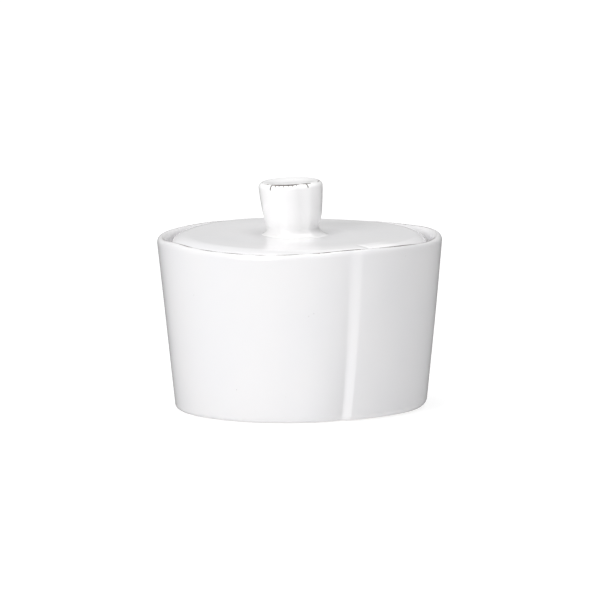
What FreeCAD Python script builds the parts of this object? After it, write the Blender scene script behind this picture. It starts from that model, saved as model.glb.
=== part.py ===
"""Sugar bowl: a slab-built, glazed earthenware bowl with a drop-in lid.

The wall is one slab wrapped into a tapered round, its end lapped over its start at the front right.
A base slab closes it, set up inside the wall so that the wall's own edge is the foot. A ledge inside
the mouth carries the lid, whose top lies about level with the rim. Under the lid a flange keeps it
centred, and on top of it stands a leaning, hollow knob.

Millimetres. +Z is up and -Y is the front. The origin is the middle of the foot, on the table.
"""

import FreeCAD
import Part

import math
import os

from FreeCAD import Vector

# Wall
BODY_HEIGHT = 66.9  # rim plane above the table, on the axis
RIM_RADIUS = 55.4  # outside of the wall, carried up to the rim plane
FOOT_RADIUS = 48.6  # outside of the wall at the table
RIM_THICKNESS = 4.0
FOOT_THICKNESS = 5.8
RIM_TILT = 0.3  # degrees: the rim stands a little higher on the left
RIM_OUTER_ROUND = 1.8
RIM_INNER_ROUND = 0.9
FOOT_ROUND = 1.3

# The lap: the slab's start dives under its end, which stands proud and is rubbed smooth
SEAM_ANGLE = -69.2  # degrees from +X, so 20.8 to the right of the front
LAP_DIVE = 19.0  # degrees before the seam line, over which the lower layer sinks
LAP_TOE = 3.4  # degrees before the seam line, where the upper layer's end begins
LAP_SHOULDER = 5.0  # degrees after the seam line, where it is flush again
RIM_LAP = 1.7  # depth that the lower layer heads for at the rim plane
FOOT_LAP = 4.0  # and at the table
LAP_POINTS = 12

# Base slab
BASE_RECESS = 1.5  # underside above the table
BASE_THICKNESS = 5.0

# Ledge for the lid
LEDGE_DROP = 4.7  # below the rim plane
LEDGE_TOP = BODY_HEIGHT - LEDGE_DROP
LEDGE_BORE = 46.3  # radius
LEDGE_LIP = 2.0  # height of its inner face
LEDGE_SLOPE = 4.5  # height over which its underside runs back to the wall
LEDGE_ROUND = 0.6

# Lid plate
LID_TILT = 0.6  # degrees: the lid and its seat stand a little higher on the left
SEAT_GAP = 0.1  # between the lid and the ledge, so that the two bodies don't share a face
LID_UNDERSIDE = LEDGE_TOP + SEAT_GAP
LID_TOP = BODY_HEIGHT + 0.5
LID_RADIUS = 48.8
LID_SHOULDER_RUN = 4.4  # the edge is rolled over in a quarter of an ellipse,
LID_SHOULDER_DROP = 3.2  # this wide and this high
LID_UNDER_ROUND = 0.8

# Locating flange under the lid
FLANGE_RADIUS = 45.2
FLANGE_THICKNESS = 3.6
FLANGE_DEPTH = 4.0
FLANGE_ROUND = 1.0

# Knob
KNOB_HEIGHT = 20.7  # above the lid, on its own centre line
KNOB_NECK_X = -2.3  # it leans to the left
KNOB_TOP_X = -3.7
KNOB_NECK_RADIUS = 10.1
KNOB_TOP_RADIUS = 12.35
KNOB_TOP_TILT = 2.3  # degrees: its top falls to the left
KNOB_TOP_ROUND = 1.6
KNOB_SECTIONS = 6
KNOB_FLARE = 3.0  # radius of the clay fillet where it meets the lid
KNOB_BORE_RADIUS = 5.0  # of the hollow, which opens under the lid
KNOB_BORE_HEIGHT = 13.0  # above the lid's top

OVERSIZE = 3.0  # how far a cutter or a blank runs past what is kept
EDGE_SLACK = 1.2  # how far a tilted or lapped edge may lie from its nominal height

UP = Vector(0, 0, 1)
CENTRE = Vector(0, 0, 0)


def between(low, high, share):
    """The value at that share of the way from low to high."""
    return low + (high - low) * share


def outer_radius(z):
    """Radius of the wall's outside at height z, away from the lap."""
    return between(FOOT_RADIUS, RIM_RADIUS, z / BODY_HEIGHT)


def inner_radius(z):
    """Radius of the wall's inside at height z."""
    return between(FOOT_RADIUS - FOOT_THICKNESS, RIM_RADIUS - RIM_THICKNESS, z / BODY_HEIGHT)


def lap_offset(degrees, depth):
    """How far the outside lies inward of the round, at an angle from the seam line."""
    dive = max(0.0, (degrees + LAP_DIVE) / LAP_DIVE) ** 2
    rise = (degrees + LAP_TOE) / (LAP_TOE + LAP_SHOULDER)
    rise = min(1.0, max(0.0, rise))
    cover = rise * rise * (3.0 - 2.0 * rise)
    return depth * dive * (1.0 - cover)


def along_round(angle):
    """The direction in which a round runs, anticlockwise, at that angle."""
    return Vector(-math.sin(angle), math.cos(angle), 0)


def lapped_outline(z):
    """The wall's outline at height z: a round with the lap in it."""
    radius = outer_radius(z)
    depth = between(FOOT_LAP, RIM_LAP, z / BODY_HEIGHT)
    first = math.radians(SEAM_ANGLE - LAP_DIVE)
    last = math.radians(SEAM_ANGLE + LAP_SHOULDER)
    arc = Part.ArcOfCircle(Part.Circle(Vector(0, 0, z), UP, radius), last, first + 2 * math.pi)

    points = []
    for i in range(LAP_POINTS):
        degrees = between(-LAP_DIVE, LAP_SHOULDER, i / (LAP_POINTS - 1))
        angle = math.radians(SEAM_ANGLE + degrees)
        r = radius - lap_offset(degrees, depth)
        points.append(Vector(r * math.cos(angle), r * math.sin(angle), z))

    lap = Part.BSplineCurve()
    lap.interpolate(Points=points, InitialTangent=along_round(first), FinalTangent=along_round(last))
    return Part.Wire([arc.toShape(), lap.toShape()])


def frustum(low, high, radius_at):
    """A solid round from height low to height high, whose radius is a function of height."""
    return Part.makeCone(radius_at(low), radius_at(high), high - low, Vector(0, 0, low))


def turned(edges):
    """A solid turned about Z from a closed profile of edges in the XZ plane."""
    face = Part.Face(Part.Wire(Part.__sortEdges__(edges)))
    return face.revolve(CENTRE, UP, 360)


def straight(points):
    """Straight edges through (radius, height) points, in the XZ plane."""
    corners = [Vector(r, 0, z) for r, z in points]
    return [Part.makeLine(a, b) for a, b in zip(corners[:-1], corners[1:])]


def above(origin, tilt):
    """A block that fills the space above a plane through origin, tilted about Y."""
    size = 4 * RIM_RADIUS
    block = Part.makeBox(size, size, size, Vector(-size / 2, -size / 2, 0))
    block.rotate(CENTRE, Vector(0, 1, 0), tilt)
    block.translate(origin)
    return block


def seated(shape):
    """The shape turned from level to the tilt of the lid's seat."""
    shape.rotate(Vector(0, 0, LEDGE_TOP), Vector(0, 1, 0), LID_TILT)
    return shape


def rounded(solid, round_radius, z, radius_from, radius_to):
    """The solid with its edges that run round Z, near height z and between two radii, rounded."""

    def is_wanted(edge):
        return all(
            abs(p.z - z) < EDGE_SLACK and radius_from < math.hypot(p.x, p.y) < radius_to
            for p in edge.discretize(7)
        )

    return solid.makeFillet(round_radius, [edge for edge in solid.Edges if is_wanted(edge)])


def bowl_wall():
    """The wrapped wall, with its lap, rounded rim and foot."""
    top = BODY_HEIGHT + OVERSIZE
    outside = Part.makeLoft([lapped_outline(0), lapped_outline(top)], True, True)
    inside = frustum(-OVERSIZE, top + OVERSIZE, inner_radius)
    wall = outside.cut(inside).cut(above(Vector(0, 0, BODY_HEIGHT), RIM_TILT))

    mid_rim = RIM_RADIUS - RIM_THICKNESS / 2
    mid_foot = FOOT_RADIUS - FOOT_THICKNESS
    wall = rounded(wall, RIM_OUTER_ROUND, BODY_HEIGHT, mid_rim, RIM_RADIUS + OVERSIZE)
    wall = rounded(wall, RIM_INNER_ROUND, BODY_HEIGHT, 0, mid_rim)
    return rounded(wall, FOOT_ROUND, 0, mid_foot, FOOT_RADIUS + OVERSIZE)


def bowl_base():
    """The floor, set up inside the wall."""
    return frustum(BASE_RECESS, BASE_RECESS + BASE_THICKNESS, inner_radius)


def lid_ledge():
    """The clay strip inside the mouth that the lid rests on."""
    top = LEDGE_TOP + OVERSIZE
    lip = LEDGE_TOP - LEDGE_LIP
    foot = lip - LEDGE_SLOPE
    ring = turned(
        straight(
            [
                (inner_radius(foot), foot),
                (LEDGE_BORE, lip),
                (LEDGE_BORE, top),
                (inner_radius(top), top),
                (inner_radius(foot), foot),
            ]
        )
    )
    ring = ring.cut(above(Vector(0, 0, LEDGE_TOP), LID_TILT))
    return rounded(ring, LEDGE_ROUND, LEDGE_TOP, 0, LEDGE_BORE + LEDGE_ROUND)


def knob_hollow():
    """The space inside the knob, open under the lid."""
    low = LID_UNDERSIDE - OVERSIZE
    top = LID_TOP + KNOB_BORE_HEIGHT
    centre = Vector((KNOB_NECK_X + KNOB_TOP_X) / 2, 0, low)
    hollow = Part.makeCylinder(KNOB_BORE_RADIUS, top - low, centre)
    return rounded(hollow, KNOB_BORE_RADIUS / 2, top, 0, LID_RADIUS)


def lid_plate():
    """The lid's plate, its edge rolled over and the knob's hollow through it."""
    flat_radius = LID_RADIUS - LID_SHOULDER_RUN
    edge_top = LID_TOP - LID_SHOULDER_DROP
    shoulder = Part.Ellipse(
        Vector(LID_RADIUS, 0, edge_top), Vector(flat_radius, 0, LID_TOP), Vector(flat_radius, 0, edge_top)
    )
    roll = Part.ArcOfEllipse(shoulder, 0, math.pi / 2).toShape()
    rest = straight(
        [
            (LID_RADIUS, edge_top),
            (LID_RADIUS, LID_UNDERSIDE),
            (0, LID_UNDERSIDE),
            (0, LID_TOP),
            (flat_radius, LID_TOP),
        ]
    )
    plate = turned([roll] + rest)
    plate = rounded(plate, LID_UNDER_ROUND, LID_UNDERSIDE, flat_radius, LID_RADIUS + OVERSIZE)
    return seated(plate.cut(knob_hollow()))


def lid_flange():
    """The ring under the lid that keeps it centred in the ledge."""
    low = LID_UNDERSIDE - FLANGE_DEPTH
    bore = FLANGE_RADIUS - FLANGE_THICKNESS
    outside = Part.makeCylinder(FLANGE_RADIUS, FLANGE_DEPTH, Vector(0, 0, low))
    ring = outside.cut(Part.makeCylinder(bore, FLANGE_DEPTH, Vector(0, 0, low)))
    return seated(rounded(ring, FLANGE_ROUND, low, 0, FLANGE_RADIUS + OVERSIZE))


def knob_outline(share):
    """The knob's round at that share of its height."""
    flare_out = (1 - share) ** 2
    radius = KNOB_TOP_RADIUS - (KNOB_TOP_RADIUS - KNOB_NECK_RADIUS) * flare_out
    x = between(KNOB_NECK_X, KNOB_TOP_X, share)
    return Part.Wire(Part.makeCircle(radius, Vector(x, 0, LID_TOP + KNOB_HEIGHT * share), UP))


def knob_fillet():
    """The ring of clay worked into the corner between the knob and the lid."""
    inside = KNOB_NECK_RADIUS - KNOB_FLARE
    toe = KNOB_NECK_RADIUS + KNOB_FLARE
    top = LID_TOP + KNOB_FLARE
    middle = KNOB_FLARE * (1 - math.sqrt(0.5))
    hollow = Part.Arc(
        Vector(toe, 0, LID_TOP),
        Vector(KNOB_NECK_RADIUS + middle, 0, LID_TOP + middle),
        Vector(KNOB_NECK_RADIUS, 0, top),
    )
    rest = straight([(KNOB_NECK_RADIUS, top), (inside, top), (inside, LID_TOP), (toe, LID_TOP)])
    ring = turned([hollow.toShape()] + rest)
    ring.translate(Vector(KNOB_NECK_X, 0, 0))
    return ring


def lid_knob():
    """The leaning knob, with the clay fillet that joins it to the lid."""
    full = 1 + OVERSIZE / KNOB_HEIGHT
    outlines = [knob_outline(full * i / (KNOB_SECTIONS - 1)) for i in range(KNOB_SECTIONS)]
    top = Vector(KNOB_TOP_X, 0, LID_TOP + KNOB_HEIGHT)
    stem = Part.makeLoft(outlines, True, False).cut(above(top, -KNOB_TOP_TILT))
    stem = rounded(stem, KNOB_TOP_ROUND, top.z, 0, LID_RADIUS)
    return seated(stem.fuse(knob_fillet()).cut(knob_hollow()))


PARTS = (bowl_wall, bowl_base, lid_ledge, lid_plate, lid_flange, lid_knob)


def main():
    os.makedirs("parts", exist_ok=True)
    for make in PARTS:
        shape = make()
        shape.exportStep(f"parts/{make.__name__}.step")
        print(f"{make.__name__}: {len(shape.Solids)} solid, valid {shape.isValid()}, {shape.Volume / 1000:.2f} cm3")


main()
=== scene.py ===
"""Looks of a slab-built, glazed sugar bowl with a drop-in lid.

The bowl is a slab wrapped into a tapered round, lapped at the front right, with a base slab and a ledge
for the lid. The lid is a plate with a rolled edge, a locating flange and a leaning knob. Each clay member
is a skin turned about the pot's axis and then worked by hand: laps, swells, leans and soft edges.

Metres. +Z is up and -Y is the front. A turn is counted in degrees from the front towards +X.
"""

import logging
import math
from dataclasses import dataclass, field
from enum import Enum
from typing import Any, Sequence

import bpy
import numpy as np
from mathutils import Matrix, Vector

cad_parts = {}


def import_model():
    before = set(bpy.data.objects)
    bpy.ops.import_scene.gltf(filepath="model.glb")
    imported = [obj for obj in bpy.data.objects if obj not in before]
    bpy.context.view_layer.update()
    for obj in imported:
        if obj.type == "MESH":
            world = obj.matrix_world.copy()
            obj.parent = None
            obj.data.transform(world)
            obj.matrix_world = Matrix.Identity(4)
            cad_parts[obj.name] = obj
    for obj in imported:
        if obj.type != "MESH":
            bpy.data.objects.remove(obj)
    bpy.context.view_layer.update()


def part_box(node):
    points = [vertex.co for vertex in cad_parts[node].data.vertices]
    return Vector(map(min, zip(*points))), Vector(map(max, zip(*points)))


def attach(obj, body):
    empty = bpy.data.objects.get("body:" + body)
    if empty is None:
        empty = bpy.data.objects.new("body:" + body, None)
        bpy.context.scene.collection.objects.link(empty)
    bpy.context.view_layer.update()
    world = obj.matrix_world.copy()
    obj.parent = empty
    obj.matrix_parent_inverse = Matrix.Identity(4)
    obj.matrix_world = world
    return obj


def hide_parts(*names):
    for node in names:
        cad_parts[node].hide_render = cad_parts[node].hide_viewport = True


MM = 0.001
LOG = logging.getLogger("sugar_bowl")

WALL_TURNS = 720  # steps round the wall and the lid's plate
RING_TURNS = 480  # round the ledge and the flange
KNOB_TURNS = 420
BASE_TURNS = 240

Array = np.ndarray
Colour = tuple[float, float, float]


def smooth_step(low: float, high: float, value: Array) -> Array:
    """Rises smoothly from 0 to 1 as a value goes from low to high.

    Args:
        low: Where the rise starts.
        high: Where it ends, which may be below low for a fall.
        value: The values to read it at.

    Returns:
        The height of the rise at each value.
    """
    share = np.clip((value - low) / (high - low), 0.0, 1.0)
    return share * share * (3.0 - 2.0 * share)


def turned_away(turn: Array, centre: float) -> Array:
    """Degrees from a centre to each turn, the short way round."""
    return (turn - centre + 180.0) % 360.0 - 180.0


def hump(turn: Array, centre: float, width: float) -> Array:
    """A smooth hump: 1 at the centre, and about a third of that a width to either side.

    Args:
        turn: The turns to read it at.
        centre: Its turn.
        width: How far it reaches, in degrees.

    Returns:
        Its height at each turn.
    """
    return np.exp(-((turned_away(turn, centre) / width) ** 2))


# Materials


class Slot(Enum):
    """Material slot names."""

    GLAZE = "glaze"


class Mark(Enum):
    """What a skin's points say about the finish there, each from 0 to 1."""

    WORN = "worn"  # the glaze is rubbed through to a dark line
    THIN = "thin"  # the glaze has run thin off an edge
    BARE = "bare"  # the clay was wiped clean of glaze
    PAINTED_LIGHT = "painted_light"  # painted light: a near-white standing in for a highlight and brighter light on the lid's edge


@dataclass(frozen=True)
class Signal:
    """A number that flows through a material, so that maths on it reads as maths.

    Attributes:
        graph: The material's graph.
        socket: The output that the number comes from.
    """

    graph: "ShaderGraph"
    socket: bpy.types.NodeSocket

    def _math(self, operation: str, first: "Signal | float", second: "Signal | float") -> "Signal":
        """Adds a Math node on two values."""
        node = self.graph.node("ShaderNodeMath", {"operation": operation}, {0: first, 1: second})
        return Signal(self.graph, node.outputs[0])

    def __add__(self, other: "Signal | float") -> "Signal":
        """Adds two values."""
        return self._math("ADD", self, other)

    def __radd__(self, other: float) -> "Signal":
        """Adds a value to a number."""
        return self._math("ADD", other, self)

    def __sub__(self, other: "Signal | float") -> "Signal":
        """Takes one value from another."""
        return self._math("SUBTRACT", self, other)

    def __rsub__(self, other: float) -> "Signal":
        """Takes a value from a number."""
        return self._math("SUBTRACT", other, self)

    def __mul__(self, other: "Signal | float") -> "Signal":
        """Multiplies two values."""
        return self._math("MULTIPLY", self, other)

    def __rmul__(self, other: float) -> "Signal":
        """Multiplies a number by a value."""
        return self._math("MULTIPLY", other, self)

    def step(self, low: float, high: float) -> "Signal":
        """Rises smoothly from 0 to 1 as the value goes from low to high.

        Args:
            low: Where the rise starts.
            high: Where it ends, which may be below low for a fall.

        Returns:
            The height of the rise.
        """
        node = self.graph.node(
            "ShaderNodeMapRange",
            {"interpolation_type": "SMOOTHSTEP"},
            {"Value": self, "From Min": low, "From Max": high},
        )
        return Signal(self.graph, node.outputs["Result"])


class ShaderGraph:
    """A material's nodes, added one at a time."""

    COLOUR_INPUTS = (6, 7)  # of a Mix node that mixes colours
    COLOUR_OUTPUT = 2

    def __init__(self, name: str) -> None:
        """Starts a material with no nodes but its output.

        Args:
            name: The material's name.
        """
        self.material = bpy.data.materials.new(name)
        self.material.use_nodes = True
        self.tree = self.material.node_tree
        self.tree.nodes.clear()
        self.output = self.node("ShaderNodeOutputMaterial")
        self.place = self.node("ShaderNodeTexCoord").outputs["Object"]

    def node(
        self,
        kind: str,
        settings: dict[str, Any] | None = None,
        inputs: dict[str | int, Any] | None = None,
    ) -> bpy.types.Node:
        """Adds a node.

        Args:
            kind: The node's type.
            settings: Its own properties, set first.
            inputs: The value or the link of each of its sockets, by name or number.

        Returns:
            The node.
        """
        node = self.tree.nodes.new(kind)
        for key, value in (settings or {}).items():
            setattr(node, key, value)
        for key, value in (inputs or {}).items():
            if isinstance(value, Signal):
                self.tree.links.new(value.socket, node.inputs[key])
            elif isinstance(value, bpy.types.NodeSocket):
                self.tree.links.new(value, node.inputs[key])
            else:
                node.inputs[key].default_value = value
        return node

    def noise(self, size: float, detail: float = 2.0, roughness: float = 0.5) -> Signal:
        """Cloudy noise over the clay.

        Args:
            size: Width of its patches, in metres.
            detail: How many finer layers it has.
            roughness: How strong those are.

        Returns:
            The noise, from 0 to 1 about 0.5.
        """
        inputs = {"Vector": self.place, "Scale": 1.0 / size, "Detail": detail, "Roughness": roughness}
        return Signal(self, self.node("ShaderNodeTexNoise", {}, inputs).outputs["Fac"])

    def specks(self, spacing: float, radius: float) -> Signal:
        """Small round specks, one or none in each cell.

        Args:
            spacing: Distance between them, in metres.
            radius: Their radius, in metres.

        Returns:
            1 in a speck and 0 elsewhere.
        """
        cells = self.node("ShaderNodeTexVoronoi", {}, {"Vector": self.place, "Scale": 1.0 / spacing})
        share = radius / spacing
        return Signal(self, cells.outputs["Distance"]).step(share, 0.5 * share)

    def mark(self, mark: Mark) -> Signal:
        """What the skin's points say about the finish."""
        node = self.node("ShaderNodeAttribute", {"attribute_name": mark.value})
        return Signal(self, node.outputs["Fac"])

    def mix(self, share: Signal, first: Any, second: Any) -> bpy.types.NodeSocket:
        """Mixes two colours.

        Args:
            share: How much of the second colour.
            first: A colour, or a link to one.
            second: Another.

        Returns:
            The mixed colour.
        """
        ends = {}
        for socket, colour in zip(self.COLOUR_INPUTS, (first, second)):
            ends[socket] = (*colour, 1.0) if isinstance(colour, tuple) else colour
        node = self.node("ShaderNodeMix", {"data_type": "RGBA"}, {0: share, **ends})
        return node.outputs[self.COLOUR_OUTPUT]


@dataclass(frozen=True)
class Glaze:
    """A clear gloss glaze on white clay, thin and dark along worn edges, wiped off where it would stick.

    Attributes:
        white: Colour of the glaze over most of the clay.
        cool: Where it is a little cooler, in broad clouds.
        painted_light: Near-white colour of a painted highlight and of painted brighter light.
        thin: Where it has run off an edge.
        worn: The dark line along a worn edge.
        rust: The line's thinner, warmer places.
        clay: Unglazed clay.
        gloss: Roughness of the glaze.
        matt: Roughness of the clay.
        peel: Height of the ripple that the glaze dries with.
        grain: Width of the clay's grain.
        blotch: Width of the patches that break a worn line up.
        cloud: Width of the broad, cool clouds.
        edge_specks: Spacing and radius of the dark specks along thin edges.
        pinholes: Spacing and radius of the holes that bubbles leave.
    """

    white: Colour = (0.820, 0.813, 0.822)
    cool: Colour = (0.810, 0.806, 0.820)
    painted_light: Colour = (0.967, 0.957, 0.964)
    thin: Colour = (0.790, 0.776, 0.768)
    worn: Colour = (0.045, 0.041, 0.042)
    rust: Colour = (0.150, 0.115, 0.095)
    clay: Colour = (0.760, 0.745, 0.722)
    gloss: float = 0.07
    matt: float = 0.80
    peel: float = 0.015 * MM
    grain: float = 0.50 * MM
    blotch: float = 2.6 * MM
    cloud: float = 24.0 * MM
    edge_specks: tuple[float, float] = (1.7 * MM, 0.30 * MM)
    pinholes: tuple[float, float] = (8.5 * MM, 0.20 * MM)

    def material(self, name: str) -> bpy.types.Material:
        """Builds the finish.

        Args:
            name: The material's name.

        Returns:
            The material.
        """
        g = ShaderGraph(name)
        grain = g.noise(self.grain, 3.0, 0.6)
        blotch = g.noise(self.blotch)
        cloud = g.noise(self.cloud, 3.0)

        ragged = 1.0 + (grain - 0.5) * 2.2 + (blotch - 0.5) * 1.2
        worn = (g.mark(Mark.WORN) * ragged).step(0.38, 0.52)
        specks = g.specks(*self.edge_specks) * g.mark(Mark.THIN).step(0.25, 0.85) * 0.75
        worn = 1.0 - (1.0 - worn) * (1.0 - specks * blotch.step(0.44, 0.6))
        thin = (g.mark(Mark.THIN) * (0.55 + 0.9 * blotch)).step(0.15, 1.15)
        bare = (g.mark(Mark.BARE) + (grain - 0.5) * 0.3 + (blotch - 0.5) * 0.35).step(0.42, 0.58)
        pinholes = g.specks(*self.pinholes) * 0.5

        colour = g.mix(cloud.step(0.35, 0.7), self.white, self.cool)
        colour = g.mix(thin * 0.5, colour, self.thin)
        # Painted light: the marked places are lifted to a near-white, as a painted highlight and painted
        # brighter light.
        colour = g.mix(g.mark(Mark.PAINTED_LIGHT), colour, self.painted_light)
        colour = g.mix(pinholes, colour, self.rust)
        line = g.mix(grain.step(0.42, 0.62), self.worn, self.rust)
        colour = g.mix(worn, colour, line)
        colour = g.mix(bare, colour, g.mix(grain.step(0.3, 0.7), self.clay, self.thin))

        roughness = self.gloss + cloud * 0.03 + worn * 0.3
        roughness = roughness + bare * (self.matt - self.gloss)

        ripple = g.noise(3.2 * MM, 1.0) + 0.35 * g.noise(11.0 * MM, 1.0) - worn * 0.5 - pinholes * 2.0
        relief = ripple * (1.0 - bare) + grain * bare * 3.0
        bump = g.node("ShaderNodeBump", {}, {"Strength": 1.0, "Distance": self.peel, "Height": relief})

        inputs = {"Base Color": colour, "Roughness": roughness, "IOR": 1.5, "Normal": bump.outputs[0]}
        shader = g.node("ShaderNodeBsdfPrincipled", {}, inputs)
        g.tree.links.new(shader.outputs[0], g.output.inputs["Surface"])
        return g.material


@dataclass(frozen=True)
class StudioPaper:
    """The matt paper that the pot stands on, lit from below until it is white.

    Attributes:
        shade: Its colour.
        tooth: Colour of the low places in its grain.
        lift: How far it is lit by lamps under it.
    """

    shade: Colour = (0.42, 0.42, 0.42)
    tooth: Colour = (0.36, 0.36, 0.36)
    lift: float = 0.66

    def material(self, name: str) -> bpy.types.Material:
        """Builds the finish.

        Args:
            name: The material's name.

        Returns:
            The material.
        """
        g = ShaderGraph(name)
        colour = g.mix(g.noise(1.5 * MM) * 0.04, self.shade, self.tooth)
        inputs = {
            "Base Color": colour,
            "Roughness": 0.9,
            "Specular IOR Level": 0.1,
            "Emission Color": (1.0, 1.0, 1.0, 1.0),
            "Emission Strength": self.lift,
        }
        shader = g.node("ShaderNodeBsdfPrincipled", {}, inputs)
        g.tree.links.new(shader.outputs[0], g.output.inputs["Surface"])
        return g.material


# Clay


@dataclass(frozen=True)
class Swell:
    """A place where the hand left an edge or a wall high or low.

    Attributes:
        centre: Its turn.
        spread: How far it reaches round, in degrees.
        rise: How high it stands.
    """

    centre: float
    spread: float
    rise: float

    def at(self, turn: Array) -> Array:
        """Its height at each turn."""
        return self.rise * np.exp(-0.5 * (turned_away(turn, self.centre) / self.spread) ** 2)


@dataclass(frozen=True)
class Lap:
    """Where a slab's end lies over its start, with the lower layer diving under the upper one.

    Attributes:
        turn: The seam line.
        dive: Degrees before it over which the lower layer sinks.
        toe: Degrees before it where the upper layer's end begins.
        shoulder: Degrees after it where the upper layer is flush again.
        depth_low: Depth that the lower layer heads for at the bottom.
        depth_high: And at the top.
        crease: 0 for an end that is rubbed smooth, 1 for one left with a sharp toe.
        lean_low: Degrees that the seam line is off its turn at the bottom.
        lean_high: And at the top.
        tight: How much narrower the step is at the bottom, from 0 to 1.
    """

    turn: float
    dive: float
    toe: float
    shoulder: float
    depth_low: float
    depth_high: float
    crease: float = 0.0
    lean_low: float = 0.0
    lean_high: float = 0.0
    tight: float = 0.0

    def offset(self, turn: Array, share: Array) -> Array:
        """How far the clay lies inward of its round.

        Args:
            turn: The turn of each point.
            share: Its height, from 0 at the bottom to 1 at the top.

        Returns:
            The distance inward.
        """
        lean = self.lean_high + (self.lean_low - self.lean_high) * (1.0 - share) ** 3
        away = turned_away(turn, self.turn + lean)
        dive = np.clip((away + self.dive) / self.dive, 0.0, None) ** 2
        narrow = 1.0 - self.tight * (1.0 - share)
        rise = np.clip((away / narrow + self.toe) / (self.toe + self.shoulder), 0.0, 1.0)
        soft = rise * rise * (3.0 - 2.0 * rise)
        sharp = 1.0 - (1.0 - rise) ** 2
        cover = soft + (sharp - soft) * self.crease
        depth = self.depth_low + (self.depth_high - self.depth_low) * share
        return depth * dive * (1.0 - cover)


@dataclass(frozen=True)
class Worn:
    """A stretch of an edge where the glaze is rubbed through.

    Attributes:
        turn: Its middle.
        spread: How far it reaches round, in degrees.
        weight: How dark it is, from 0 to 1.
    """

    turn: float
    spread: float
    weight: float

    def at(self, turn: Array) -> Array:
        """How worn each turn is."""
        return self.weight * np.exp(-0.5 * (turned_away(turn, self.turn) / self.spread) ** 4)


@dataclass(frozen=True)
class WornLine:
    """The dark line along an edge where the glaze is rubbed thin, and its runs.

    Attributes:
        stretches: Where the edge is worn.
        drips: Turns where the line has run down, with how far and how dark.
        faint: How dark the line is where it is not worn.
        dark: How much darker it gets where it is.
        fine: Its half width where it is not worn.
        broad: How much wider it gets where it is.
        most: The most wear that overlapping stretches add up to.
    """

    stretches: tuple[Worn, ...]
    drips: tuple[tuple[float, float, float], ...]
    faint: float
    dark: float
    fine: float
    broad: float
    most: float = math.inf

    def at(self, turn: Array, away: Array) -> Array:
        """How dark the line is.

        Args:
            turn: The turn of each point.
            away: Its distance from the middle of the line.

        Returns:
            The darkness of each point.
        """
        wear = np.minimum(sum(worn.at(turn) for worn in self.stretches), self.most)
        across = away / (self.fine + self.broad * wear)
        return (self.faint + self.dark * wear) * np.exp(-(across**2))

    def run_down(self, skin: "Skin", top: float, radius: float) -> Array:
        """How dark the thin runs down from the line are.

        Args:
            skin: The skin that they are on.
            top: Height of the edge.
            radius: Its radius.

        Returns:
            The darkness of each point.
        """
        half_width = 0.28 * MM
        dark = np.zeros_like(skin.radius)
        drop = top - skin.height
        for turn, reach, weight in self.drips:
            side = np.radians(turned_away(skin.turn, turn)) * radius
            run = np.exp(-((side / half_width) ** 2)) * smooth_step(reach * 1.25, reach * 0.75, drop)
            dark = np.maximum(dark, weight * run)
        return dark


@dataclass(frozen=True)
class Corner:
    """A corner of a section, rounded between a point on the run before it and one on the run after.

    Attributes:
        radius: Distance from the axis, as one value or one for each turn.
        height: Height, likewise.
        round_in: Distance back to where the rounding starts.
        round_out: Distance on to where it ends.
        bends: Faces round the corner.
        run: Faces along the straight run to the next corner.
    """

    radius: float | Array
    height: float | Array
    round_in: float | Array = 0.0
    round_out: float | Array = 0.0
    bends: int = 8
    run: int = 8


def even_turns(count: int, focus: float | None = None, spread: float = 12.0) -> Array:
    """Turns round the pot, closer together about a seam.

    Args:
        count: How many.
        focus: The seam's turn, if there is one.
        spread: How far the closer ones reach, in degrees.

    Returns:
        The turns, from 0 up to 360.
    """
    fine = np.linspace(0.0, 360.0, 7201)
    weight = np.ones_like(fine)
    if focus is not None:
        weight += 2.5 * np.exp(-0.5 * (turned_away(fine, focus) / spread) ** 2)
    total = np.concatenate([[0.0], np.cumsum(0.5 * (weight[1:] + weight[:-1]))])
    return np.interp(np.arange(count) * total[-1] / count, total, fine)


def section(corners: Sequence[Corner], count: int, is_loop: bool) -> Array:
    """Rounds the corners of a section and divides its runs, at every turn.

    Args:
        corners: Its corners, anticlockwise with the axis on the left.
        count: How many turns there are.
        is_loop: Whether it closes on itself. If not, it starts and ends on the axis.

    Returns:
        Radius and height of each of its points, as turns by points by 2.
    """

    def spread(value: float | Array) -> Array:
        """The value at every turn."""
        return np.broadcast_to(np.asarray(value, float), (count,))

    places = np.stack([np.stack([spread(c.radius), spread(c.height)], -1) for c in corners], 1)
    back = np.roll(places, 1, axis=1) - places
    ahead = np.roll(places, -1, axis=1) - places
    back /= np.linalg.norm(back, axis=-1, keepdims=True)
    ahead /= np.linalg.norm(ahead, axis=-1, keepdims=True)

    bends = []
    for k, corner in enumerate(corners):
        steps = corner.bends if np.max(spread(corner.round_in)) > 0.0 else 0
        bend = np.linspace(0.0, math.pi / 2, steps + 1)[None, :, None] if steps else np.zeros((1, 1, 1))
        start = back[:, k, None] * spread(corner.round_in)[:, None, None]
        end = ahead[:, k, None] * spread(corner.round_out)[:, None, None]
        bends.append(places[:, k, None] + start * (1.0 - np.sin(bend)) + end * (1.0 - np.cos(bend)))

    pieces = []
    for k, corner in enumerate(corners):
        pieces.append(bends[k])
        if k + 1 < len(corners) or is_loop:
            a = bends[k][:, -1:]
            b = bends[(k + 1) % len(corners)][:, :1]
            pieces.append(a + (b - a) * np.linspace(0.0, 1.0, corner.run + 1)[None, 1:-1, None])
    return np.concatenate(pieces, axis=1)


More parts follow.
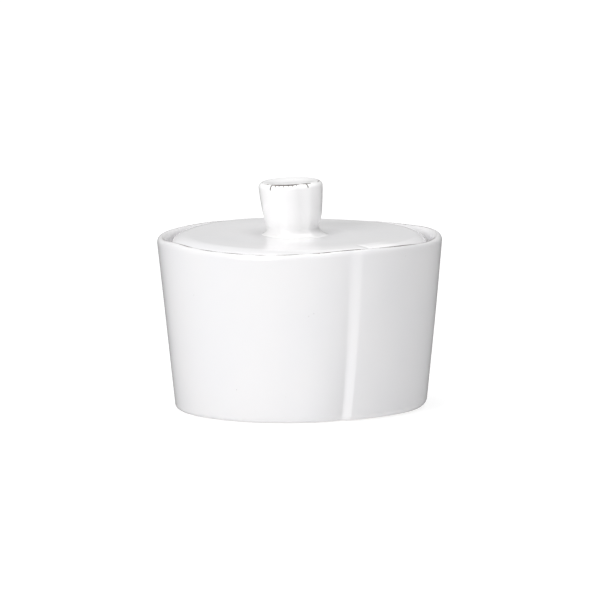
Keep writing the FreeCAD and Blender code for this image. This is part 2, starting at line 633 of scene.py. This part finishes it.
@dataclass
class Skin:
    """A clay member's surface: a section at every turn round the pot.

    Attributes:
        turns: The turns.
        radius: Distance of each point from the axis, as turns by points.
        height: Its height.
        is_loop: Whether the section closes on itself.
        shift_x: How far each point is moved along X afterwards.
        marks: What the finish is like at each point.
    """

    turns: Array
    radius: Array
    height: Array
    is_loop: bool
    shift_x: Array | float = 0.0
    marks: dict[Mark, Array] = field(default_factory=dict)

    @classmethod
    def from_section(cls, turns: Array, corners: Sequence[Corner], is_loop: bool) -> "Skin":
        """Makes a skin from the corners of its section.

        Args:
            turns: The turns round the pot.
            corners: The section's corners.
            is_loop: Whether it closes on itself.

        Returns:
            The skin.
        """
        points = section(corners, len(turns), is_loop)
        return cls(turns, points[..., 0].copy(), points[..., 1].copy(), is_loop)

    @property
    def turn(self) -> Array:
        """The turn of each point, as turns by points."""
        return np.broadcast_to(self.turns[:, None], self.radius.shape)

    def points(self) -> Array:
        """Where each point is, as turns by points by 3."""
        angle = np.radians(self.turn - 90.0)
        x = self.radius * np.cos(angle) + self.shift_x
        return np.stack([x, self.radius * np.sin(angle), self.height], -1)

    def faces(self) -> list[tuple[int, ...]]:
        """The faces between neighbouring points, by the numbers that flatten() gives them."""
        count, along = self.radius.shape
        grid = np.arange(count * along).reshape(count, along)
        if not self.is_loop:
            inner = along - 2
            grid = np.zeros((count, along), int)
            grid[:, 1:-1] = np.arange(count * inner).reshape(count, inner)
            grid[:, 0] = count * inner
            grid[:, -1] = count * inner + 1
        ahead = np.roll(grid, -1, axis=0)
        steps = along if self.is_loop else along - 1
        faces: list[tuple[int, ...]] = []
        for j in range(steps):
            k = (j + 1) % along
            corners = [grid[:, j], ahead[:, j], ahead[:, k], grid[:, k]]
            if not self.is_loop and j == 0:
                corners = [grid[:, j], ahead[:, k], grid[:, k]]
            if not self.is_loop and k == along - 1:
                corners = [grid[:, j], ahead[:, j], grid[:, k]]
            faces.extend(zip(*(corner.tolist() for corner in corners)))
        return faces

    def flatten(self, values: Array) -> Array:
        """Values at the points, in the order that faces() counts them.

        Args:
            values: Turns by points, and by 3 for places.

        Returns:
            One row for each point.
        """
        if self.is_loop:
            return values.reshape(-1, *values.shape[2:])
        body = values[:, 1:-1].reshape(-1, *values.shape[2:])
        poles = np.stack([values[:, 0].mean(0), values[:, -1].mean(0)])
        return np.concatenate([body, poles])

    def tilt(self, left: float, back: float, pivot: float) -> None:
        """Lifts the left and the back, as a seat that is not level does.

        Args:
            left: By how many degrees the left is lifted.
            back: And the back.
            pivot: The height that stays.
        """
        x, y, _ = np.moveaxis(self.points(), -1, 0)
        slope_x, slope_y = math.tan(math.radians(left)), math.tan(math.radians(back))
        self.shift_x = self.shift_x + (self.height - pivot) * slope_x
        self.height = self.height - x * slope_x + y * slope_y

    def piece(self, name: str, material: bpy.types.Material) -> bpy.types.Object:
        """Makes the mesh object.

        Args:
            name: Its name.
            material: Its finish.

        Returns:
            The object.
        """
        mesh = bpy.data.meshes.new(name)
        mesh.from_pydata(self.flatten(self.points()).tolist(), [], self.faces())
        mesh.polygons.foreach_set("use_smooth", [True] * len(mesh.polygons))
        for mark, values in self.marks.items():
            layer = mesh.attributes.new(mark.value, "FLOAT", "POINT")
            layer.data.foreach_set("value", self.flatten(values).astype(np.float32))
        mesh.materials.append(material)
        mesh.update()
        made = bpy.data.objects.new(name, mesh)
        bpy.context.scene.collection.objects.link(made)
        return made


def settle(piece: bpy.types.Object, body: str, node: str) -> None:
    """Puts a piece on its body, in place of its CAD node.

    Args:
        piece: The piece.
        body: The body that it rides on.
        node: The node that it stands for.
    """
    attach(piece, body)
    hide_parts(node)
    LOG.info("%s: %d points, rides on %s", piece.name, len(piece.data.vertices), body)


@dataclass
class Bowl:
    """The bowl: wall, base and ledge.

    Attributes:
        rim_radius: Outside of the wall at the rim plane.
        height: Rim plane above the table.
        foot_radius: Outside of the wall at the table.
        rim_thickness: Of the wall at the rim.
        foot_thickness: Of the wall at the foot.
        rim_outside: Rounding of the rim's outer corner, along the wall and along the rim.
        rim_inside: And of its inner corner, along the rim and along the wall.
        foot_round: Rounding of the foot's outer corner.
        foot_round_change: How much more of it there is at the right, and less at the left.
        base_recess: The base's underside above the table.
        base_thickness: Of the base.
        coil: Size of the coil of clay worked into the base's corner.
        set_in: How far the base and the ledge are worked into the wall.
        ledge_drop: The ledge's top below the rim plane.
        ledge_bore: Radius of the ledge's opening.
        ledge_lip: Height of the ledge's inner face.
        ledge_slope: Height over which its underside runs back to the wall.
        seat_tilt: Degrees by which the ledge stands higher on the left and at the back.
        lap: The wall's seam.
        swells: High and low places of the rim.
        swell_reach: How far down the wall they reach.
        foot_swell: Where the foot stands a little off the table.
        foot_swell_reach: How far up the wall it reaches.
        worn: The rim's worn line.
    """

    rim_radius: float
    height: float = 66.9 * MM
    foot_radius: float = 48.6 * MM
    rim_thickness: float = 4.0 * MM
    foot_thickness: float = 5.8 * MM
    rim_outside: tuple[float, float] = (2.6 * MM, 1.8 * MM)
    rim_inside: tuple[float, float] = (2.0 * MM, 2.4 * MM)
    foot_round: float = 2.5 * MM
    foot_round_change: float = 0.8 * MM
    base_recess: float = 1.5 * MM
    base_thickness: float = 5.0 * MM
    coil: float = 4.5 * MM
    set_in: float = 0.5 * MM
    ledge_drop: float = 4.7 * MM
    ledge_bore: float = 46.3 * MM
    ledge_lip: float = 2.0 * MM
    ledge_slope: float = 4.5 * MM
    seat_tilt: tuple[float, float] = (0.6, 0.35)
    lap: Lap = Lap(
        turn=22.1,
        dive=19.0,
        toe=2.6,
        shoulder=4.2,
        depth_low=2.7 * MM,
        depth_high=0.85 * MM,
        lean_low=-1.4,
        lean_high=0.5,
        tight=0.4,
    )
    swells: tuple[Swell, ...] = (
        Swell(24.0, 11.0, 0.75 * MM),
        Swell(46.0, 9.0, 0.50 * MM),
        Swell(70.0, 12.0, -0.35 * MM),
        Swell(128.0, 8.0, -0.30 * MM),
        Swell(152.0, 17.0, -0.75 * MM),
        Swell(186.0, 22.0, -0.45 * MM),
        Swell(218.0, 10.0, 0.25 * MM),
        Swell(258.0, 9.0, 0.05 * MM),
        Swell(298.0, 8.0, 0.70 * MM),
        Swell(342.0, 15.0, -0.60 * MM),
    )
    swell_reach: float = 18.0 * MM
    foot_swell: Swell = Swell(42.0, 25.0, 0.38 * MM)
    foot_swell_reach: float = 9.0 * MM
    worn: WornLine = WornLine(
        stretches=(
            Worn(-80.0, 4.0, 0.7),
            Worn(-68.0, 5.0, 0.4),
            Worn(-56.0, 4.0, 0.8),
            Worn(-41.0, 3.0, 0.6),
            Worn(-28.0, 4.0, 0.7),
            Worn(-17.0, 3.0, 0.6),
            Worn(-5.0, 4.0, 0.9),
            Worn(8.5, 3.0, 1.0),
            Worn(14.0, 4.0, 0.6),
            Worn(22.0, 4.0, 1.2),
            Worn(38.0, 3.0, 0.4),
            Worn(49.0, 7.0, 1.3),
            Worn(72.0, 8.0, 0.7),
            Worn(120.0, 12.0, 0.35),
            Worn(205.0, 20.0, 0.4),
        ),
        drips=((10.0, 1.7 * MM, 0.45), (-73.0, 0.9 * MM, 0.6), (52.0, 1.1 * MM, 0.6)),
        faint=0.44,
        dark=0.56,
        fine=0.24 * MM,
        broad=0.17 * MM,
    )

    @property
    def seat(self) -> float:
        """Height of the ledge's top, on the axis."""
        return self.height - self.ledge_drop

    def outer(self, height: Array | float) -> Array | float:
        """Radius of the wall's outside at a height."""
        return self.foot_radius + (self.rim_radius - self.foot_radius) * height / self.height

    def inner(self, height: Array | float) -> Array | float:
        """Radius of the wall's inside at a height."""
        foot = self.foot_radius - self.foot_thickness
        rim = self.rim_radius - self.rim_thickness
        return foot + (rim - foot) * height / self.height

    def wall(self) -> Skin:
        """The wrapped, lapped wall."""
        turns = even_turns(WALL_TURNS, self.lap.turn)
        foot_round = self.foot_round + self.foot_round_change * np.sin(np.radians(turns - 15.0))
        corners = [
            Corner(self.inner(0.0), 0.0, 0.9 * MM, 0.9 * MM, 4, 4),
            Corner(self.outer(0.0), 0.0, foot_round, foot_round, 10, 44),
            Corner(self.outer(self.height), self.height, *self.rim_outside, 12, 2),
            Corner(self.inner(self.height), self.height, *self.rim_inside, 12, 28),
        ]
        skin = Skin.from_section(turns, corners, True)
        share = skin.height / self.height
        inner, outer = self.inner(skin.height), self.outer(skin.height)
        depth = np.clip((skin.radius - inner) / (outer - inner), 0.0, 1.0)
        self.mark_wall(skin, depth)

        crest = smooth_step(self.height - self.swell_reach, self.height, skin.height)
        foot = smooth_step(self.foot_swell_reach, 0.0, skin.height)
        skin.radius = skin.radius - depth * self.lap.offset(skin.turn, share)
        skin.radius = skin.radius + depth * self.unevenness(skin.turn, share)
        skin.height = skin.height + crest * sum(swell.at(skin.turn) for swell in self.swells)
        skin.height = skin.height + foot * self.foot_swell.at(skin.turn)
        return skin

    def mark_wall(self, skin: Skin, depth: Array) -> None:
        """Marks where the wall's glaze is worn, thin or wiped off.

        Args:
            skin: The wall, while it is still round and level.
            depth: How far out each point is, from 0 on the inside to 1 on the outside.
        """
        facing = smooth_step(0.25, 0.75, np.cos(np.radians(skin.turn)))
        line_radius = self.inner(self.height) + 1.7 * MM + 0.7 * MM * facing
        away = np.hypot(skin.radius - line_radius, skin.height - self.height)
        runs = self.worn.run_down(skin, self.height, self.rim_radius)
        outside = smooth_step(0.55, 0.85, depth)
        skin.marks[Mark.WORN] = np.maximum(self.worn.at(skin.turn, away), outside * runs)

        edge = np.exp(-np.maximum(0.0, self.height - skin.height) / (1.4 * MM))
        foot = np.exp(-skin.height / (1.0 * MM))
        seam = hump(skin.turn, self.lap.turn + 2.2, 1.4) * depth
        skin.marks[Mark.THIN] = np.clip(0.7 * edge + 0.6 * foot + 0.25 * seam, 0.0, 1.0)
        skin.marks[Mark.BARE] = smooth_step(0.5 * MM, 0.15 * MM, skin.height)

    def unevenness(self, turn: Array, share: Array) -> Array:
        """How far the hand-smoothed outside lies off its round.

        Args:
            turn: The turn of each point.
            share: Its height, from 0 at the table to 1 at the rim.

        Returns:
            The distance outward.
        """
        angle = np.radians(turn)
        waves = np.sin(2.0 * angle + 0.6) + 0.7 * np.sin(3.0 * angle + 2.1 + 1.5 * share)
        ripples = 0.35 * np.sin(7.0 * angle + 4.0 * share) + 0.3 * np.sin(11.0 * angle - 6.0 * share)
        belly = np.sin(math.pi * share)
        return 0.12 * MM * (waves + ripples) + 0.10 * MM * belly

    def base(self) -> Skin:
        """The floor, with a coil of clay worked into its corner."""
        low = self.base_recess
        high = low + self.base_thickness
        crown = high + self.coil
        corners = [
            Corner(0.0, low, run=24),
            Corner(self.inner(low) + self.set_in, low, 0.4 * MM, 0.4 * MM, 3, 6),
            Corner(self.inner(crown) + self.set_in, crown, 0.1 * MM, 0.1 * MM, 2, 2),
            Corner(self.inner(crown) - 0.1 * MM, crown, 0.1 * MM, 0.1 * MM, 2, 1),
            Corner(self.inner(high), high, 0.96 * self.coil, self.coil, 12, 30),
            Corner(0.0, high),
        ]
        skin = Skin.from_section(even_turns(BASE_TURNS), corners, False)
        x, y, _ = np.moveaxis(skin.points(), -1, 0)
        top = smooth_step(low + 2.0 * MM, high - 0.5 * MM, skin.height)
        waves = 0.10 * MM * np.sin(skin.radius / (3.4 * MM))
        waves = waves + 0.18 * MM * np.sin(x / (14.0 * MM) + y / (19.0 * MM))
        skin.height = skin.height + top * waves * smooth_step(0.0, 6.0 * MM, skin.radius)
        return skin

    def ledge(self) -> Skin:
        """The strip inside the mouth, wiped clean of glaze on top where the lid sits."""
        lip = self.seat - self.ledge_lip
        foot = lip - self.ledge_slope
        corners = [
            Corner(self.inner(self.seat) + self.set_in, self.seat, run=6),
            Corner(self.ledge_bore, self.seat, 0.6 * MM, 0.6 * MM, 6, 8),
            Corner(self.ledge_bore, lip, 1.6 * MM, 0.9 * MM, 6, 3),
            Corner(self.inner(foot) + self.set_in, foot - self.set_in, run=2),
        ]
        skin = Skin.from_section(even_turns(RING_TURNS), corners, True)
        skin.radius = skin.radius + 0.10 * MM * np.sin(np.radians(9.0 * skin.turn + 40.0))
        wiped_to = self.inner(self.seat) - 0.5 * MM
        top = smooth_step(self.seat - 0.5 * MM, self.seat - 0.1 * MM, skin.height)
        skin.marks[Mark.BARE] = top * smooth_step(0.0, 0.8 * MM, wiped_to - skin.radius)
        level = skin.height
        skin.tilt(*self.seat_tilt, self.seat)
        skin.height = level + (skin.height - level) * smooth_step(lip - 1.0 * MM, self.seat, level)
        return skin

    def build(self, glaze: bpy.types.Material) -> None:
        """Makes the bowl's pieces and puts them on their body.

        Args:
            glaze: Their finish.
        """
        settle(self.wall().piece("glazed_wall", glaze), "bowl", "bowl_wall")
        settle(self.base().piece("glazed_base", glaze), "bowl", "bowl_base")
        settle(self.ledge().piece("glazed_ledge", glaze), "bowl", "lid_ledge")


@dataclass
class Lid:
    """The lid: plate, flange and knob.

    Attributes:
        top: Height of the plate's flat top.
        underside: Height of its underside.
        pivot: Height about which the lid is tilted.
        tilt: Degrees by which the lid stands higher on the left and at the back.
        radius: Of the plate.
        shoulder_run: Width of the rolled edge.
        shoulder_drop: Its height.
        front_run: How much wider the rolled edge is at the front.
        front_droop: How far the plate's edge hangs there.
        plate_lap: The seam in the rolled edge.
        lap_run: How much wider the rolled edge is just past the seam.
        lap_drop: How much higher it is there.
        lap_rise: How far the clay stands up there.
        edge_flare: How far the edge is pulled out at the back left.
        swells: High and low places of the plate's edge.
        flange_radius: Outside of the flange.
        flange_thickness: Of the flange.
        flange_depth: How far it reaches down.
        hollow_radius: Of the hollow in the knob.
        hollow_height: Of the hollow above the plate's top.
        knob_height: Above the plate.
        neck_x: Where the knob's centre line meets the plate.
        knob_top_x: And its top.
        neck_radius: Of the knob just above its fillet.
        knob_top_radius: Of its top.
        knob_top_tilt: Degrees by which its top falls to the left.
        knob_edge: Rounding of its top edge.
        dish: How deep its top is dished.
        fillet: Width of the clay worked into its corner.
        knob_lap: The seam in the knob.
        knob_worn: The worn line of its top edge.
    """

    top: float
    underside: float
    pivot: float
    tilt: tuple[float, float] = (0.6, 0.35)
    radius: float = 49.1 * MM
    shoulder_run: float = 3.8 * MM
    shoulder_drop: float = 3.2 * MM
    front_run: float = 3.4 * MM
    front_droop: float = 0.6 * MM
    plate_lap: Lap = Lap(
        turn=37.0,
        dive=4.0,
        toe=0.8,
        shoulder=3.0,
        depth_low=0.55 * MM,
        depth_high=0.55 * MM,
        crease=1.0,
    )
    lap_run: float = 2.6 * MM
    lap_drop: float = 0.8 * MM
    lap_rise: float = 0.10 * MM
    edge_flare: float = 0.8 * MM
    swells: tuple[Swell, ...] = (Swell(212.0, 20.0, 0.45 * MM), Swell(163.0, 13.0, -0.30 * MM))
    flange_radius: float = 45.2 * MM
    flange_thickness: float = 3.6 * MM
    flange_depth: float = 4.0 * MM
    hollow_radius: float = 5.0 * MM
    hollow_height: float = 13.0 * MM
    knob_height: float = 20.75 * MM
    neck_x: float = -2.3 * MM
    knob_top_x: float = -3.7 * MM
    neck_radius: float = 10.1 * MM
    knob_top_radius: float = 12.35 * MM
    knob_top_tilt: float = 2.3
    knob_edge: float = 1.95 * MM
    dish: float = 0.8 * MM
    fillet: float = 3.0 * MM
    knob_lap: Lap = Lap(
        turn=20.0,
        dive=38.0,
        toe=4.0,
        shoulder=20.0,
        depth_low=0.42 * MM,
        depth_high=0.50 * MM,
    )
    knob_worn: WornLine = WornLine(
        stretches=(
            Worn(-9.0, 27.0, 0.95),
            Worn(36.0, 9.0, 0.65),
            Worn(-58.0, 11.0, 0.4),
            Worn(72.0, 14.0, 0.45),
            Worn(112.0, 18.0, 0.3),
            Worn(200.0, 30.0, 0.2),
            Worn(262.0, 18.0, 0.4),
        ),
        drips=(
            (-38.5, 2.3 * MM, 0.85),
            (-29.0, 0.9 * MM, 0.75),
            (-21.5, 0.7 * MM, 0.90),
            (-12.0, 0.9 * MM, 0.70),
            (-3.0, 0.6 * MM, 0.90),
            (5.0, 0.8 * MM, 0.70),
            (13.0, 0.6 * MM, 0.85),
            (34.5, 1.6 * MM, 0.95),
        ),
        faint=0.2,
        dark=0.85,
        fine=0.24 * MM,
        broad=0.24 * MM,
        most=1.1,
    )

    def plate(self) -> Skin:
        """The lid's plate, with its rolled edge."""
        seam = self.plate_lap.turn
        turns = even_turns(WALL_TURNS, seam, 16.0)
        past_seam = smooth_step(seam - 1.0, seam + 3.5, turns) * smooth_step(seam + 21.0, seam + 6.0, turns)
        front = 0.5 + 0.5 * np.cos(np.radians(turns + 20.0))
        run_in = self.shoulder_run + self.front_run * front + self.lap_run * past_seam
        drop = self.shoulder_drop + self.lap_drop * past_seam
        corners = [
            Corner(self.hollow_radius, self.underside, 0.7 * MM, 0.7 * MM, 5, 36),
            Corner(self.radius, self.underside, 1.0 * MM, 0.8 * MM, 6, 2),
            Corner(self.radius, self.top, drop, run_in, 20, 40),
            Corner(self.hollow_radius, self.top, run=4),
        ]
        skin = Skin.from_section(turns, corners, True)
        rolled = smooth_step(self.radius - self.shoulder_run - 3.0 * MM, self.radius, skin.radius)
        self.mark_plate(skin, rolled)

        sunk = self.plate_lap.offset(skin.turn, np.ones_like(skin.radius))
        dip = 0.7 * sunk * smooth_step(34.0 * MM, 46.0 * MM, skin.radius)
        flare = self.edge_flare * hump(skin.turn, -128.0, 32.0)
        skin.radius = skin.radius + rolled * (flare - sunk)

        upper = smooth_step(self.underside, self.top, skin.height)
        outward = np.clip((skin.radius - 31.0 * MM) / (18.0 * MM), 0.0, 1.0)
        droop = self.front_droop * front[:, None] * outward**2
        proud = self.lap_rise * past_seam[:, None] * smooth_step(41.5 * MM, 44.0 * MM, skin.radius)
        waves = sum(swell.at(skin.turn) for swell in self.swells)
        waves = waves * smooth_step(22.0 * MM, 44.0 * MM, skin.radius) + self.sway(skin)
        skin.height = skin.height + upper * (waves - droop - dip + proud)
        skin.tilt(*self.tilt, self.pivot)
        return skin

    def mark_plate(self, skin: Skin, rolled: Array) -> None:
        """Marks where the plate's glaze is wiped off or thin, and where its rolled edge gets painted light.

        Args:
            skin: The plate, while it is still round and level.
            rolled: How far into the rolled edge each point is, from 0 to 1.
        """
        under = smooth_step(self.underside + 0.3 * MM, self.underside, skin.height)
        seat = smooth_step(self.radius - 5.2 * MM, self.radius - 4.2 * MM, skin.radius)
        seat = seat * smooth_step(self.radius, self.radius - 0.8 * MM, skin.radius)
        skin.marks[Mark.BARE] = under * seat
        skin.marks[Mark.THIN] = 0.25 * rolled

        # Painted highlight on the rolled edge just past the seam, and painted brighter light on the front
        # shoulder before it.
        away = turned_away(skin.turn, self.plate_lap.turn)
        past = smooth_step(-1.0, 1.0, away) * smooth_step(24.0, 9.0, away)
        past = past * smooth_step(36.0 * MM, 38.5 * MM, skin.radius)
        before = smooth_step(-45.0, -10.0, away) * smooth_step(0.0, -3.0, away)
        before = before * smooth_step(33.0 * MM, 42.0 * MM, skin.radius)
        above = smooth_step(self.underside + 0.5 * MM, self.underside + 1.5 * MM, skin.height)
        skin.marks[Mark.PAINTED_LIGHT] = (past + 0.65 * before) * above

    def sway(self, skin: Skin) -> Array:
        """How far the plate's top lies off its plane in slow waves, away from the knob."""
        x, y, _ = np.moveaxis(skin.points(), -1, 0)
        waves = 0.09 * MM * np.sin(x / (17.0 * MM) + 0.8) * np.cos(y / (21.0 * MM) - 0.4)
        return waves * smooth_step(14.0 * MM, 24.0 * MM, skin.radius)

    def flange(self) -> Skin:
        """The ring under the plate."""
        low = self.underside - self.flange_depth
        high = self.underside + 0.3 * MM
        bore = self.flange_radius - self.flange_thickness
        corners = [
            Corner(bore, low, 1.1 * MM, 1.3 * MM, 6, 2),
            Corner(self.flange_radius, low, 1.3 * MM, 1.1 * MM, 6, 6),
            Corner(self.flange_radius, high, run=3),
            Corner(bore, high, run=6),
        ]
        skin = Skin.from_section(even_turns(RING_TURNS), corners, True)
        skin.radius = skin.radius + 0.12 * MM * np.sin(np.radians(5.0 * skin.turn + 10.0))
        skin.marks[Mark.THIN] = 0.6 * smooth_step(low + 1.0 * MM, low, skin.height)
        skin.tilt(*self.tilt, self.pivot)
        return skin

    def knob(self) -> Skin:
        """The leaning knob, hollow from below, flared into the plate and worn along its top edge."""
        turns = even_turns(KNOB_TURNS, self.knob_lap.turn, 30.0)
        edge_round = self.knob_edge - 0.1 * MM * np.sin(np.radians(turns))
        high = self.top + self.knob_height
        neck = self.top + self.fillet
        crown = self.top + self.hollow_height
        sunk = self.top - 0.3 * MM
        flared = self.fillet * (1.0 + 0.6 * hump(turns, 65.0, 50.0))
        toe = self.neck_radius + flared + 0.4 * MM
        corners = [
            Corner(0.0, crown, run=6),
            Corner(self.hollow_radius, crown, 3.0 * MM, 3.0 * MM, 8, 12),
            Corner(self.hollow_radius, sunk, run=6),
            Corner(toe, sunk, run=1),
            Corner(toe, self.top - 0.12 * MM, run=1),
            Corner(self.neck_radius, self.top - 0.08 * MM, flared, 0.5 * (self.fillet + flared), 14, 40),
            Corner(self.neck_radius, high, edge_round, edge_round, 12, 24),
            Corner(0.0, high),
        ]
        skin = Skin.from_section(turns, corners, False)
        share = np.clip((skin.height - neck) / (high - neck), 0.0, 1.0)
        outside = smooth_step(self.hollow_radius + 0.5 * MM, self.neck_radius - 2.5 * MM, skin.radius)
        self.mark_knob(skin, edge_round, outside)

        flare = (self.knob_top_radius - self.neck_radius) * (1.0 - (1.0 - share) ** 2)
        skin.radius = skin.radius * (1.0 + outside * flare / self.neck_radius)
        worked = outside * smooth_step(self.hollow_radius, self.neck_radius, skin.radius)
        skin.radius = skin.radius - worked * self.knob_lap.offset(skin.turn, share)
        skin.radius = skin.radius + worked * self.knob_unevenness(skin.turn, share)

        upper = smooth_step(self.top + 0.45 * self.knob_height, high, skin.height)
        fall = skin.points()[..., 0] * math.tan(math.radians(self.knob_top_tilt))
        dish = smooth_step(self.knob_top_radius - 1.5 * MM, 0.2 * self.knob_top_radius, skin.radius)
        dish = self.dish * dish * (skin.height > high - 0.05 * MM)
        lean = (self.knob_top_x - self.neck_x) * (skin.height - self.top) / self.knob_height
        skin.shift_x = self.neck_x + lean
        skin.height = skin.height + upper * (fall - dish)
        skin.tilt(*self.tilt, self.pivot)
        return skin

    def mark_knob(self, skin: Skin, edge_round: Array, outside: Array) -> None:
        """Marks where the knob's glaze is worn or thin.

        Args:
            skin: The knob, while it is still straight and upright.
            edge_round: Rounding of its top edge at each turn.
            outside: 1 on its outside and 0 in its hollow.
        """
        high = self.top + self.knob_height
        past_edge = skin.radius - (self.neck_radius - 0.60 * edge_round[:, None])
        away = np.hypot(past_edge, skin.height - high + 0.12 * MM)
        runs = self.knob_worn.run_down(skin, high, self.knob_top_radius)
        worn = np.maximum(self.knob_worn.at(skin.turn, away), runs * (past_edge > 0.0))
        skin.marks[Mark.WORN] = worn * outside
        skin.marks[Mark.THIN] = 0.8 * np.exp(-away / (1.0 * MM)) * outside

    def knob_unevenness(self, turn: Array, share: Array) -> Array:
        """How far the hand-squeezed knob lies off its round.

        Args:
            turn: The turn of each point.
            share: Its height, from 0 at the neck to 1 at the top.

        Returns:
            The distance outward.
        """
        cheek = np.exp(-(((share - 0.25) / 0.22) ** 2)) * np.clip(np.sin(np.radians(turn)), 0.0, 1.0)
        ripple = 0.08 * MM * np.sin(3.0 * np.radians(turn) + 3.0 * share)
        square = 0.8 * MM * hump(turn, 60.0, 20.0) * smooth_step(-0.1, 0.4, share)
        return 0.2 * MM * cheek + ripple + square

    def build(self, glaze: bpy.types.Material, painted_light: bpy.types.Material) -> None:
        """Makes the lid's pieces and puts them on their body.

        Args:
            glaze: Their finish.
            painted_light: The knob's finish, the same glaze painted much lighter so that the knob reads as
                more brightly lit.
        """
        settle(self.plate().piece("glazed_lid", glaze), "lid", "lid_plate")
        settle(self.flange().piece("glazed_flange", glaze), "lid", "lid_flange")
        settle(self.knob().piece("glazed_knob", painted_light), "lid", "lid_knob")


# Studio


@dataclass(frozen=True)
class SoftBox:
    """A lamp behind a white cloth.

    Attributes:
        name: Its name.
        place: Where its middle is.
        width: Across.
        height: Up.
        watts: Its power.
    """

    name: str
    place: tuple[float, float, float]
    width: float
    height: float
    watts: float

    def hang(self, aim: Vector) -> None:
        """Puts the lamp up.

        Args:
            aim: The point that it faces.
        """
        lamp = bpy.data.lights.new(self.name, "AREA")
        lamp.shape = "RECTANGLE"
        lamp.size = self.width
        lamp.size_y = self.height
        lamp.energy = self.watts
        made = bpy.data.objects.new(self.name, lamp)
        made.location = self.place
        made.rotation_euler = (aim - Vector(self.place)).to_track_quat("-Z", "Y").to_euler()
        bpy.context.scene.collection.objects.link(made)


@dataclass(frozen=True)
class Skylight:
    """An even light from a wide opening straight above.

    Attributes:
        name: Its name.
        strength: Light that it lays on the floor.
        spread: Degrees across the opening.
    """

    name: str = "skylight"
    strength: float = 2.40
    spread: float = 60.0

    def hang(self) -> None:
        """Puts the light up."""
        lamp = bpy.data.lights.new(self.name, "SUN")
        lamp.energy = self.strength
        lamp.angle = math.radians(self.spread)
        bpy.context.scene.collection.objects.link(bpy.data.objects.new(self.name, lamp))


@dataclass
class Studio:
    """White paper under the pot, soft lamps and the camera.

    Attributes:
        aim_height: Height that the camera looks at.
        distance: From there to the camera.
        elevation: Degrees that the camera looks down.
        roll: Degrees that it is rolled.
        width: Of what it sees, at the pot.
        room: Light from all round.
        boxes: The lamps.
        sky: The light from above.
        paper: The floor's finish.
    """

    aim_height: float = 41.6 * MM
    distance: float = 9.0
    elevation: float = 7.8
    roll: float = 0.6
    width: float = 232.4 * MM
    room: float = 0.15
    boxes: tuple[SoftBox, ...] = (
        SoftBox("key_light", (-1.05, -1.38, 0.87), 1.1, 1.0, 18.8),
        SoftBox("fill_light", (1.50, -1.70, 0.90), 1.6, 1.2, 4.6),
        SoftBox("back_light", (0.0, 2.4, 0.75), 3.0, 1.4, 4.2),
    )
    sky: Skylight = Skylight()
    paper: StudioPaper = StudioPaper()

    def lay_floor(self) -> None:
        """Lays the paper."""
        half = 6.0
        mesh = bpy.data.meshes.new("floor")
        corners = [(-half, -half, 0.0), (half, -half, 0.0), (half, half, 0.0), (-half, half, 0.0)]
        mesh.from_pydata(corners, [], [(0, 1, 2, 3)])
        mesh.materials.append(self.paper.material("studio_paper"))
        floor = bpy.data.objects.new("floor", mesh)
        bpy.context.scene.collection.objects.link(floor)
        floor.visible_glossy = False  # keeps its glare out of the glaze, as black cards beside the pot would

    def light(self) -> None:
        """Lights the room and hangs the lamps."""
        world = bpy.data.worlds.new("studio")
        world.use_nodes = True
        back = world.node_tree.nodes["Background"]
        back.inputs["Color"].default_value = (1.0, 1.0, 1.0, 1.0)
        back.inputs["Strength"].default_value = self.room
        bpy.context.scene.world = world
        for box in self.boxes:
            box.hang(Vector((0.0, 0.0, self.aim_height)))
        self.sky.hang()

    def set_camera(self) -> None:
        """Sets the camera up in front, looking a little down."""
        lens = bpy.data.cameras.new("camera")
        lens.sensor_width = 36.0
        lens.lens = lens.sensor_width * self.distance / self.width
        lens.clip_end = 50.0
        camera = bpy.data.objects.new("camera", lens)
        aim = Vector((0.0, 0.0, self.aim_height))
        down = math.radians(self.elevation)
        camera.location = aim + self.distance * Vector((0.0, -math.cos(down), math.sin(down)))
        camera.rotation_euler = (math.pi / 2 - down, 0.0, 0.0)
        camera.rotation_euler.rotate_axis("Z", -math.radians(self.roll))
        bpy.context.scene.collection.objects.link(camera)
        bpy.context.scene.camera = camera

    def build(self) -> None:
        """Sets up the whole studio."""
        self.lay_floor()
        self.light()
        self.set_camera()
        bpy.context.scene.view_settings.view_transform = "Standard"
        LOG.info("studio: %d lamps", len(self.boxes))


def main() -> None:
    """Builds the pot and the studio."""
    logging.basicConfig(level=logging.INFO, format="%(name)s %(message)s")
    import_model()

    wall_low, wall_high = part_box("bowl_wall")
    _, ledge_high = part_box("lid_ledge")
    LOG.info("frame: rim %.1f mm, ledge %.1f mm", wall_high.z / MM, ledge_high.z / MM)

    rounded_off = 0.25 * MM  # what the rounding of the rim takes off its radius
    lid_proud = 0.5 * MM  # the lid's top above the rim plane
    seat_gap = 0.1 * MM
    bowl = Bowl(rim_radius=0.5 * (wall_high.x - wall_low.x) + rounded_off)
    lid = Lid(top=bowl.height + lid_proud, underside=bowl.seat + seat_gap, pivot=bowl.seat)
    glaze = Glaze().material("white_glaze")
    # Painted light: the knob's glaze is much lighter than the bowl's, standing in for the brighter light on
    # the knob.
    painted_light = Glaze(white=(0.962, 0.957, 0.955), cool=(0.948, 0.944, 0.948)).material("knob_glaze_painted_lighter")
    Studio().build()
    bowl.build(glaze)
    lid.build(glaze, painted_light)


if __name__ == "__main__":
    main()
